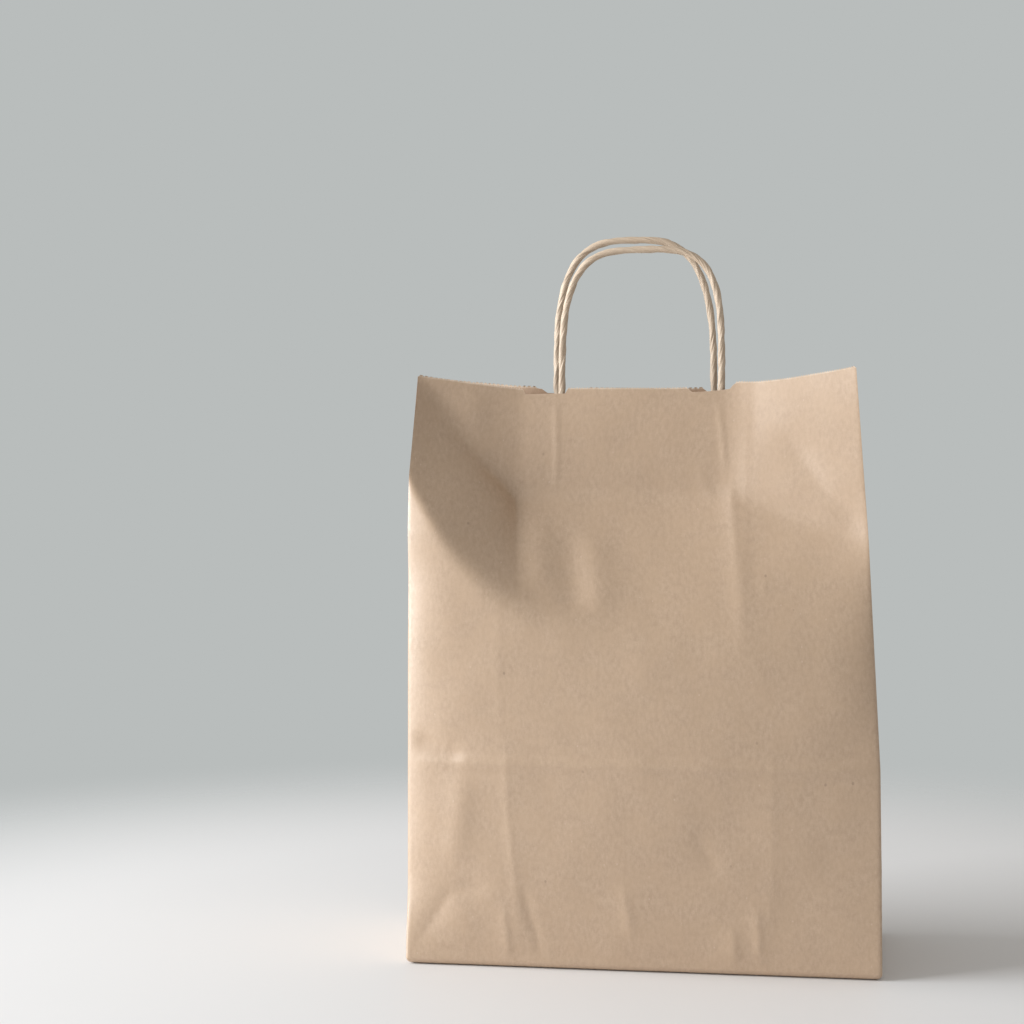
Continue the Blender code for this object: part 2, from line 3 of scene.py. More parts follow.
import bmesh
import bpy
import numpy as np
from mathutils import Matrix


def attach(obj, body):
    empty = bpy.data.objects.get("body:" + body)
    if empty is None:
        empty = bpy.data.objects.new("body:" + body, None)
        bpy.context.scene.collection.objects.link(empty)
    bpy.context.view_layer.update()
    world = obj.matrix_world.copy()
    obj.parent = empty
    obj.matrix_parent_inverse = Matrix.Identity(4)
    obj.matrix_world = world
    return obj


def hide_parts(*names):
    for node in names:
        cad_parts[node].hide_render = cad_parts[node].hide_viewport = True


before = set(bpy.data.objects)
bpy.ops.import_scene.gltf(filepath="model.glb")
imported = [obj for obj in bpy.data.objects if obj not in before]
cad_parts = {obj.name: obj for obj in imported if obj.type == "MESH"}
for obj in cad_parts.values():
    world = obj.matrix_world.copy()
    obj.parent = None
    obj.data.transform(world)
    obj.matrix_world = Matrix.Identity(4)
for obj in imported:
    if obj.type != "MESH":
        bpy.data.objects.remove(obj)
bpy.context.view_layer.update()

# The sheet. Metres, the front panel faces -Y
sheet = {
    "halfWidth": 0.120,
    "halfDepth": 0.055,
    "height": 0.3054,         # cut height of the sheet, longer than the leaning panels stand
    "paper": 0.0002,
    "baseLevel": 0.0004,      # the floor of the bag lies on two flaps
    "foldRadius": 0.0030,
    "cornerRound": 0.0012,    # width of the round on the upright folds
    "toothPitch": 0.00138,    # zigzag cut of the top edge
    "toothDepth": 0.00090,
    "highlightBand": 0.00015,        # pale band below the teeth, in the cut-edge finish: a painted highlight along the top edge
    "gridStep": 0.0005,
}
notches = {"depth": 0.0023, "width": 0.0220, "spacing": 0.0864, "slant": 0.0008, "reach": 0.006}
strips = {
    "width": 0.116, "height": 0.046, "top": 0.005, "gap": 0.0003, "step": 0.0015,
    "tail": 0.0032,           # slope of the cover past the end of a cord
    "spread": 3.0,            # reach of its slopes beside a cord, in cord radii
    "crown": 1.12,            # radius of its round top, in cord radii
}

# How the mouth is drawn in, by heights up the sheet and depths inward of the flat wall
frontForm = {
    "mouthDepth": 0.0440, "leanStart": 0.159, "kink": 0.248, "kinkSpread": 0.045, "pinch": 0.2165,
    "leftFlank": 0.0605, "rightFlank": 0.0680, "leftCorner": 0.0270, "rightCorner": 0.0165,
    "leftRound": 0.0042, "leftRoundWidth": 0.018, "rightRound": 0.0042, "rightRoundWidth": 0.009,
    "belly": 0.0016, "leftLift": 0.0033, "leftLiftWidth": 0.090, "rightLift": 0.0024, "rightLiftWidth": 0.040,
    "rightDrop": 0.0, "notchShift": -0.0060,
}
backForm = dict(
    frontForm, mouthDepth=0.0425, leanStart=0.163, kink=0.233, pinch=0.209, rightFlank=0.0605,
    leftCorner=0.0200, rightCorner=0.0195, leftLift=0.0042, leftLiftWidth=0.060, rightLift=0.0004,
    rightLiftWidth=0.090, rightDrop=0.0022, notchShift=0.0020,
)
liftReach, dropReach = 0.035, 0.060    # widths over which the lift and the drop die out at the corners
bends = {
    "soft": 0.010, "sharp": 0.0028, "top": 0.005, "flankFade": 0.010,
    "leftBlend": 0.0015, "rightBlend": 0.0045, "leastSlack": 0.001, "steepest": 0.8,
}
# How far both panels' upright edges lie inside the flat width, at the heights named
edges = {"kink": -0.0004, "leftTop": 0.0, "crease": 0.0013, "pinch": 0.0071, "rightTop": 0.0138}
creaseHeight = 0.104


def ease(value):
    value = np.clip(value, 0.0, 1.0)
    return value * value * (3 - 2 * value)


def bend(distance, radius):    # 0 below zero and the distance above it, with a round start
    inside = (distance + radius) ** 2 / (4 * radius)
    return np.where(distance < -radius, 0.0, np.where(distance > radius, distance, inside))


def lesser(a, b, blend):
    share = np.clip(0.5 + 0.5 * (b - a) / blend, 0.0, 1.0)
    return b * (1 - share) + a * share - blend * share * (1 - share)


def unit(vectors):
    return vectors / np.linalg.norm(vectors, axis=-1, keepdims=True)


def runLength(points):    # how far along a line each of its points lies
    return np.concatenate([[0.0], np.cumsum(np.linalg.norm(np.diff(points, axis=0), axis=1))])


def cornerRound(up, depth, fullHeight):
    half = sheet["halfDepth"]
    return depth * np.clip((up - half) / (fullHeight - half), 0.0, 1.0) ** 2


def stiffHeight():    # where the lean ends, below the strips
    return sheet["height"] - strips["top"] - strips["height"] - bends["top"]


def topLift(seen, form):    # how much higher the top edge stands than the lean alone would hold it
    half = sheet["halfWidth"]
    total = -form["rightDrop"] * np.clip(1 - (half - seen) / dropReach, 0.0, 1.0) ** 2
    for inward, end, height, width in (
        (1, -half + form["leftFlank"], form["leftLift"], form["leftLiftWidth"]),
        (-1, half - form["rightFlank"], form["rightLift"], form["rightLiftWidth"]),
    ):
        beside = (seen - end) * inward
        near = 1 - np.where(beside < 0, -beside / liftReach, beside / width)
        total = total + height * np.clip(near, 0.0, 1.0) ** 2
    return total


def panelDepth(across, up, form):
    half, height = sheet["halfWidth"], sheet["height"]
    fromLeft = across + half
    fromRight = half - across
    leftFade = np.exp(-fromLeft / form["kinkSpread"])
    start = form["leanStart"] + (form["kink"] - form["leanStart"]) * leftFade
    stiff = stiffHeight()
    flanks = [-half, -half + form["leftFlank"], half - form["rightFlank"], half]
    end = np.interp(across, flanks, [height, stiff, stiff, form["pinch"]])
    leftRise = (form["mouthDepth"] - form["leftCorner"]) / form["leftFlank"]
    rightRise = (form["mouthDepth"] - form["rightCorner"]) / form["rightFlank"]
    leftSide = lesser(form["leftCorner"] + leftRise * fromLeft, form["mouthDepth"], bends["leftBlend"])
    reach = lesser(form["rightCorner"] + rightRise * fromRight, leftSide, bends["rightBlend"])
    radius = bends["sharp"] + (bends["soft"] - bends["sharp"]) * (1 - leftFade)
    lean = (bend(up - start, radius) - bend(up - end, bends["top"])) / (end - start)
    rounds = cornerRound(up, form["leftRound"], form["kink"]) * np.exp(-fromLeft / form["leftRoundWidth"])
    rounds = rounds + (cornerRound(up, form["rightRound"], form["leanStart"])
                       * np.exp(-fromRight / form["rightRoundWidth"]))
    belly = form["belly"] * (1 - (across / half) ** 2) * np.sin(np.pi * np.clip(up / form["leanStart"], 0, 1))
    return reach * lean + rounds * (1 - np.clip(lean, 0.0, 1.0)) - belly


def keepLength(slope, lines, axis):    # adds up the projected steps of a sheet that can't stretch
    share = np.sqrt(1 - np.clip(slope ** 2, 0.0, bends["steepest"]))
    return addUp(share, lines, axis)


def addUp(share, lines, axis):
    share = share if axis == 1 else share.T
    parts = 0.5 * (share[:, 1:] + share[:, :-1]) * np.diff(lines)
    total = np.concatenate([np.zeros((len(parts), 1)), np.cumsum(parts, axis=1)], axis=1)
    return total if axis == 1 else total.T


# Relief of the panels. Each mark is placed in the panel as it is seen from outside: x to the
# right and z up in millimetres, with its height in millimetres towards the viewer
ridge = "ridge"          # a round line
tent = "tent"            # a sharp crease that dies away on both sides
frontMarks = [
    # flutes below the stiff middle
    dict(kind=ridge, path=[(-57, 232), (-54, 208), (-50, 190)], height=1.1, left=7.0, right=6.0),
    dict(kind=ridge, path=[(-41, 226), (-38, 200), (-33, 178)], height=-1.0, left=7.0, right=6.0),
    dict(kind=ridge, path=[(-29, 222), (-23, 195), (-21, 176)], height=1.0, left=6.0, right=9.0),
    # lighter streak and hollows of the upper left facet
    dict(kind=ridge, path=[(-91, 300), (-91, 262), (-84, 240)], height=0.9, left=9.0, right=8.0),
    dict(kind=ridge, path=[(-112, 298), (-111, 255)], height=-0.8, left=7.0, right=7.0),
    # marks that the cords pressed into the stiff middle
    dict(kind=ridge, path=[(-49, 293), (-48, 262), (-49, 236)], height=0.45, left=1.4, right=1.2),
    dict(kind=ridge, path=[(35, 292), (38, 268), (40, 247)], height=0.40, left=1.5, right=1.3),
    dict(kind=ridge, path=[(24, 252), (29, 243), (35, 235)], height=0.35, left=2.0, right=2.0),
    # right facet
    dict(kind=tent, path=[(124, 218), (104, 228), (92, 239), (80, 256), (64, 276)],
         height=-1.5, left=18.0, right=9.0),
    dict(kind=ridge, path=[(60, 200), (61, 190)], height=0.25, left=2.5, right=2.5),
    # dent at the left end of the bottom crease
    dict(kind=tent, path=[(-118, 118), (-100, 109), (-87, 107)], height=-1.6, left=6.0, right=3.5),
    dict(kind=ridge, path=[(-89, 100), (-92, 75), (-96, 48)], height=0.8, left=7.0, right=7.0),
    # press line of the pleated gussets
    dict(kind=tent, path=[(-73, 215), (-72, 160), (-71, 100)], height=0.18, left=3.0, right=5.0),
    dict(kind=tent, path=[(-69, 130), (-67, 80), (-63, 40), (-61, 6)], height=0.55, left=3.0, right=7.0),
    dict(kind=tent, path=[(66, 134), (66, 60), (64, 8)], height=0.25, left=4.0, right=4.0),
    # bottom left corner
    dict(kind=tent, path=[(-118, 5), (-97, 37), (-69, 45)], height=-1.3, left=7.0, right=7.0),
    # crumples along the bottom, and the line where the sheet turns under
    dict(kind=tent, path=[(-180, 7), (180, 7)], height=-0.5, left=2.0, right=2.0),
    dict(kind=tent, path=[(-69, 34), (-68, 18), (-66, 3)], height=0.7, left=3.0, right=2.5),
    dict(kind=tent, path=[(-60, 46), (-56, 30), (-51, 12), (-49, 2)], height=-0.8, left=2.5, right=2.5),
    dict(kind=tent, path=[(-9, 46), (-6, 30), (-3, 14)], height=0.8, left=5.0, right=4.0),
    dict(kind=tent, path=[(46, 26), (48, 4)], height=0.7, left=4.5, right=3.0),
    dict(kind=tent, path=[(58, 38), (59, 20), (60, 4)], height=0.7, left=2.5, right=3.0),
    dict(kind=tent, path=[(25, 75), (33, 62), (40, 48)], height=-0.5, left=5.0, right=5.0),
]
backMarks = [
    dict(kind=ridge, path=[(-52, 236), (-47, 205), (-44, 182)], height=1.0, left=7.0, right=7.0),
    dict(kind=ridge, path=[(-34, 226), (-30, 200), (-27, 180)], height=-0.9, left=7.0, right=7.0),
    dict(kind=ridge, path=[(8, 224), (11, 196), (10, 176)], height=0.8, left=8.0, right=8.0),
    dict(kind=ridge, path=[(-88, 298), (-90, 262), (-84, 236)], height=0.8, left=9.0, right=9.0),
    dict(kind=ridge, path=[(-40, 292), (-41, 262), (-41, 240)], height=0.40, left=1.4, right=1.4),
    dict(kind=ridge, path=[(43, 292), (43, 262), (43, 240)], height=0.40, left=1.4, right=1.4),
    dict(kind=tent, path=[(112, 220), (96, 231), (80, 250), (62, 272)], height=0.9, left=6.0, right=6.0),
    dict(kind=tent, path=[(-66, 134), (-65, 70), (-64, 8)], height=0.4, left=4.0, right=6.0),
    dict(kind=tent, path=[(65, 132), (66, 70), (65, 8)], height=0.35, left=5.0, right=4.0),
    dict(kind=tent, path=[(117, 6), (96, 30), (70, 38)], height=-0.7, left=6.0, right=6.0),
    dict(kind=tent, path=[(-22, 38), (-19, 20), (-18, 4)], height=0.7, left=4.0, right=4.0),
    dict(kind=tent, path=[(30, 30), (33, 14), (34, 3)], height=-0.6, left=4.0, right=4.0),
    dict(kind=tent, path=[(70, 128), (86, 121), (100, 118)], height=-0.7, left=5.0, right=5.0),
]
cockle = {"height": 0.00030, "waves": 26, "longest": 0.120, "shortest": 0.018, "seed": 5}


def nearestOnPath(x, z, path):    # signed distance, positive on the right, and place along the path
    best = np.full(x.shape, 1e9)
    signed = np.zeros(x.shape)
    along = np.zeros(x.shape)
    lengths = [math.dist(a, b) for a, b in zip(path, path[1:])]
    total = sum(lengths)
    passed = 0.0
    for (ax, az), (bx, bz), length in zip(path, path[1:], lengths):
        ux, uz = (bx - ax) / length, (bz - az) / length
        share = np.clip(((x - ax) * ux + (z - az) * uz) / length, 0.0, 1.0)
        dx, dz = x - (ax + ux * length * share), z - (az + uz * length * share)
        distance = np.hypot(dx, dz)
        side = np.sign(ux * (z - az) - uz * (x - ax))
        closer = distance < best
        best = np.where(closer, distance, best)
        signed = np.where(closer, distance * side * math.copysign(1.0, -uz if abs(uz) > 1e-9 else ux), signed)
        along = np.where(closer, (passed + share * length) / total, along)
        passed += length
    return signed, along


def markHeight(x, z, mark):
    signed, along = nearestOnPath(x, z, mark["path"])
    width = np.where(signed > 0, mark["right"], mark["left"])
    fade = ease(along / 0.3) * ease((1 - along) / 0.3)
    if mark["kind"] == ridge:
        return mark["height"] * fade * np.exp(-(signed / width) ** 2)
    return mark["height"] * fade * np.exp(-np.abs(signed) / width)


def cockleHeight(x, z, seed):    # low waves of paper that has been handled
    rng = np.random.default_rng(seed)
    total = np.zeros(x.shape)
    weights = 0.0
    for k in range(cockle["waves"]):
        share = k / (cockle["waves"] - 1)
        length = cockle["longest"] * (cockle["shortest"] / cockle["longest"]) ** share
        angle = rng.uniform(0, math.pi)
        phase = rng.uniform(0, 2 * math.pi)
        weight = length / cockle["longest"]
        run = x * math.cos(angle) + z * math.sin(angle)
        total = total + weight * np.sin(2 * math.pi * run / length + phase)
        weights += weight ** 2
    return cockle["height"] * total / math.sqrt(weights)


bulge = {
    "height": 0.0042, "top": 0.215,
    # rounded left edge
    "round": 0.0056, "roundWidth": 0.0135, "roundStart": 0.045, "roundFade": 0.195, "roundEnd": 0.250,
    # upper corners, drawn in from these places outward and from these heights upward
    "rightPinch": 0.0075, "rightFrom": 0.050, "rightStart": 0.130, "rightRise": 0.070,
    "rightEase": 0.4, "easeStart": 0.25, "easeRise": 0.05,
    "leftPinch": 0.0050, "leftFrom": -0.062, "leftStart": 0.215, "leftRise": 0.035,
    # crease that the folded bottom pressed in, and the flat foot below all of it
    "crease": 0.0009, "creaseWidth": 0.0022, "creaseEnds": 0.02, "foot": 0.006,
}


def bulgeHeight(x, z):    # an opened bag stands with a belly, a rounded left edge and drawn-in corners
    half = sheet["halfWidth"]
    total = bulge["height"] * (1 - (x / half) ** 2) * np.sin(np.pi * np.clip(z / bulge["top"], 0.0, 1.0))
    gone = ease((z - bulge["roundFade"]) / (bulge["roundEnd"] - bulge["roundFade"]))
    fade = ease(z / bulge["roundStart"]) * (1 - gone)
    total = total - bulge["round"] * fade * np.exp(-np.maximum(x + half, 0.0) / bulge["roundWidth"])
    right = np.clip((x - bulge["rightFrom"]) / (half - bulge["rightFrom"]), 0.0, 1.0)
    left = np.clip((bulge["leftFrom"] - x) / (half + bulge["leftFrom"]), 0.0, 1.0)
    pinch = bulge["rightPinch"] * right * ease((z - bulge["rightStart"]) / bulge["rightRise"])
    total = total - pinch * (1 - bulge["rightEase"] * ease((z - bulge["easeStart"]) / bulge["easeRise"]))
    return total - bulge["leftPinch"] * left * ease((z - bulge["leftStart"]) / bulge["leftRise"])


def panelRelief(x, z, marks, seed):    # metres, outward
    total = bulgeHeight(x, z)
    for mark in marks:
        total = total + markHeight(x * 1000, z * 1000, mark) / 1000
    total = total + cockleHeight(x, z, seed)
    crease = np.exp(-((z - creaseHeight) / bulge["creaseWidth"]) ** 2)
    total = total + bulge["crease"] * crease * ease((sheet["halfWidth"] - np.abs(x)) / bulge["creaseEnds"])
    return total * ease(z / bulge["foot"])


class Panel:    # the front or back panel, sampled by place across and up the sheet
    def __init__(self, form, facing, marks, seed):
        half, height = sheet["halfWidth"], sheet["height"]
        self.facing = facing
        self.notchShift = form["notchShift"]
        self.across = np.linspace(-half, half, 1 + round(2 * half / sheet["gridStep"]))
        self.up = np.linspace(0.0, height, 1 + round(height / sheet["gridStep"]))
        across, up = np.meshgrid(self.across, self.up)
        depth = panelDepth(-facing * across, up, form)
        slopeUp, slopeAcross = np.gradient(depth, self.up, self.across)
        left = np.interp(up, [0.0, frontForm["kink"], height], [0.0, edges["kink"], edges["leftTop"]]) - half
        right = half - np.interp(up, [0.0, creaseHeight, frontForm["pinch"], height],
                                 [0.0, edges["crease"], edges["pinch"], edges["rightTop"]])
        run = keepLength(slopeAcross, self.across, 1)
        seen = -facing * across
        outside = np.maximum(-half + form["leftFlank"] - seen, seen - half + form["rightFlank"])
        slack = addUp(bends["leastSlack"] + ease(outside / bends["flankFade"]), self.across, 1)
        x = left + run + (right - left - run[:, -1:]) * slack / slack[:, -1:]
        z = keepLength(slopeUp, self.up, 0) + sheet["baseLevel"]
        raised = ease((up - form["leanStart"]) / (stiffHeight() - form["leanStart"]))
        z = z + topLift(seen, form) * raised
        self.cornerDepths = depth[:, [0, -1]]    # before the relief, which folds no pleat
        depth = depth - panelRelief(-facing * x, z, marks, seed)
        self.place = np.stack([x, facing * (sheet["halfDepth"] - depth), z], axis=-1)
        alongUp = np.gradient(self.place, self.up, axis=0)
        alongAcross = np.gradient(self.place, self.across, axis=1)
        inward = unit(np.cross(alongUp, alongAcross) * -facing)
        self.inward = np.where(inward[..., 1:2] * facing > 0, -inward, inward)

    def sample(self, across, up, inward=0.0):
        across, up = np.broadcast_arrays(np.asarray(across, float), np.asarray(up, float))
        if not np.isscalar(inward):
            return self.sample(across, up) + self.normal(across, up) * inward[..., None]
        column = np.clip((across - self.across[0]) / sheet["gridStep"], 0, len(self.across) - 1.0001)
        row = np.clip(up / (self.up[1] - self.up[0]), 0, len(self.up) - 1.0001)
        i, j = column.astype(int), row.astype(int)
        a, b = (column - i)[..., None], (row - j)[..., None]
        field = self.place + self.inward * inward
        low = field[j, i] * (1 - a) + field[j, i + 1] * a
        high = field[j + 1, i] * (1 - a) + field[j + 1, i + 1] * a
        return low * (1 - b) + high * b

    def cornerDepth(self, up, side):
        return np.interp(up, self.up, self.cornerDepths[:, 0 if side < 0 else 1])

    def normal(self, across, up):
        column = np.rint((across - self.across[0]) / sheet["gridStep"]).astype(int)
        row = np.rint(up / (self.up[1] - self.up[0])).astype(int)
        return self.inward[np.clip(row, 0, len(self.up) - 1), np.clip(column, 0, len(self.across) - 1)]


# The body: one folded sheet

bodyMesh = {
    "rows": 128, "gussetColumns": 36, "roundRows": 5, "sharp": 50, "cornerShare": 0.45,
    "lapEdge": -0.096, "lapStep": 0.00024, "lapLines": (-0.0002, 0.0003),
    "girthRow": 20,           # row whose girth places the finish around the bag
}
gussetMarks = {
    "crease": 0.0004, "creaseWidth": 0.003, "fold": 0.0004, "foldWidth": 0.004, "opened": 0.004,
    "diagonal": 0.0009, "diagonalWidth": 0.004, "fade": 0.01, "markEnds": 0.012,
    "bulge": 0.0003, "bulgeTop": 0.14, "wave": 0.5, "waveShift": 0.3, "waveEnds": 0.02,
    "tuck": 0.0075, "tuckLength": 0.070,    # how far a pleat sinks in at the mouth
    "gap": 0.0014, "gapSlope": 0.35,        # between a folded pleat and the panel that it lies behind
}
flaps = {"overlap": 0.036, "margin": 0.0006}


def notchDrop(across, shift):
    drop = np.zeros(np.shape(across))
    for side in (-1, 1):
        middle = shift + side * notches["spacing"] / 2
        inside = notches["width"] / 2 - np.abs(across - middle) + notches["slant"] / 2
        drop = np.maximum(drop, np.clip(inside / notches["slant"], 0.0, 1.0))
    return notches["depth"] * drop


def gussetPlaces(front, back, spread, shares, up, side):    # a pleated side between two corner lines
    half = sheet["halfDepth"]
    flank = np.minimum(up, half)[:, None]
    spread = spread[:, None]
    loss = np.maximum(2 * half - spread, 0.0) / 2
    fold = np.sqrt(np.maximum(0.0, flank ** 2 - (flank - loss) ** 2))
    along = shares[None, :] * 2 * half
    toCorner = np.minimum(along, 2 * half - along)
    inward = fold * np.minimum(1.0, toCorner / flank)
    shown = np.minimum(toCorner, flank) * (flank - loss) / flank + np.maximum(0.0, toCorner - flank)
    share = np.where(along <= half, shown / spread, 1 - shown / spread)[..., None]
    place = front[:, None] * (1 - share) + back[:, None] * share
    foldHeight = sheet["baseLevel"] + up[0] + keepLength(np.gradient(fold[:, 0], up)[:, None], up, 0)[:, 0]
    sink = np.maximum(0.0, (front[:, 2] + back[:, 2]) / 2 - foldHeight)
    sink = sink + gussetMarks["tuck"] * ease((up - sheet["height"]) / gussetMarks["tuckLength"] + 1)
    place[..., 2] -= sink[:, None] * np.minimum(1.0, toCorner / flank)
    height = up[:, None]
    opened = 1 - ease(loss / gussetMarks["opened"])
    above = ease((height - half) / gussetMarks["fade"])
    crease = np.exp(-np.abs(height - creaseHeight) / gussetMarks["creaseWidth"])
    middle = np.exp(-np.abs(along - half) / gussetMarks["foldWidth"])
    diagonal = np.exp(-np.abs(height - toCorner) / math.sqrt(2) / gussetMarks["diagonalWidth"])
    marks = gussetMarks["crease"] * crease + gussetMarks["fold"] * middle * opened * above
    marks = marks - gussetMarks["diagonal"] * diagonal * (1 - above)
    swell = np.sin(np.pi * np.clip(height / gussetMarks["bulgeTop"], 0, 1))
    swell = gussetMarks["bulge"] * np.sin(np.pi * shares)[None, :] * swell
    wave = cockleHeight(along + side * gussetMarks["waveShift"], height + 0 * along, cockle["seed"] + 7)
    outward = marks * ease(toCorner / gussetMarks["markEnds"]) * ease(height / bulge["foot"])
    waved = (swell + wave * gussetMarks["wave"]) * ease(toCorner / gussetMarks["waveEnds"])
    outward = outward + waved * ease(height / gussetMarks["fade"])
    place[..., 0] += side * (outward - inward)
    return place


def keepBehind(pleat, panel, facing, corner):    # depths of a pleat, kept inside the panel before it
    kept = pleat[..., 1].copy()
    for k, (wall, line) in enumerate(zip(pleat, panel)):
        order = np.argsort(line[:, 0])
        level = np.interp(wall[:, 0], line[order, 0], line[order, 1])
        gap = np.minimum(gussetMarks["gap"], gussetMarks["gapSlope"] * np.abs(wall[:, 0] - corner[k]))
        kept[k] = np.where(facing * (wall[:, 1] - level) > -gap, level - facing * gap, wall[:, 1])
    return kept


def sheetColumns(step, extra=()):
    inset = sheet["cornerRound"]
    half = sheet["halfWidth"]
    count = round((2 * half - 2 * inset) / step)
    return np.array(sorted({-half, half, *extra, *np.linspace(-half + inset, half - inset, count + 1)}))


def addMesh(name, mesh, materials, sharpFrom=None):    # sharpFrom in degrees
    data = bpy.data.meshes.new(name)
    mesh.to_mesh(data)
    mesh.free()
    for material in materials:
        data.materials.append(material)
    piece = bpy.data.objects.new(name, data)
    bpy.context.scene.collection.objects.link(piece)
    data.shade_smooth()
    if sharpFrom:
        data.set_sharp_from_angle(angle=math.radians(sharpFrom))
    return piece


def addFlap(mesh, side, reach, level):    # a long flap of the block bottom, with 45 degree ends
    inset = sheet["foldRadius"] + flaps["margin"]
    edge = side * (sheet["halfDepth"] - inset)
    half = sheet["halfWidth"] - inset
    tip = edge - side * reach
    outline = [(-half, edge), (half, edge), (half - reach, tip), (-half + reach, tip)]
    if side > 0:
        outline.reverse()
    low = [mesh.verts.new((x, y, level)) for x, y in outline]
    high = [mesh.verts.new((x, y, level + sheet["paper"])) for x, y in outline]
    mesh.faces.new(low[::-1])
    mesh.faces.new(high)
    for k in range(4):
        after = (k + 1) % 4
        mesh.faces.new((low[k], low[after], high[after], high[k]))


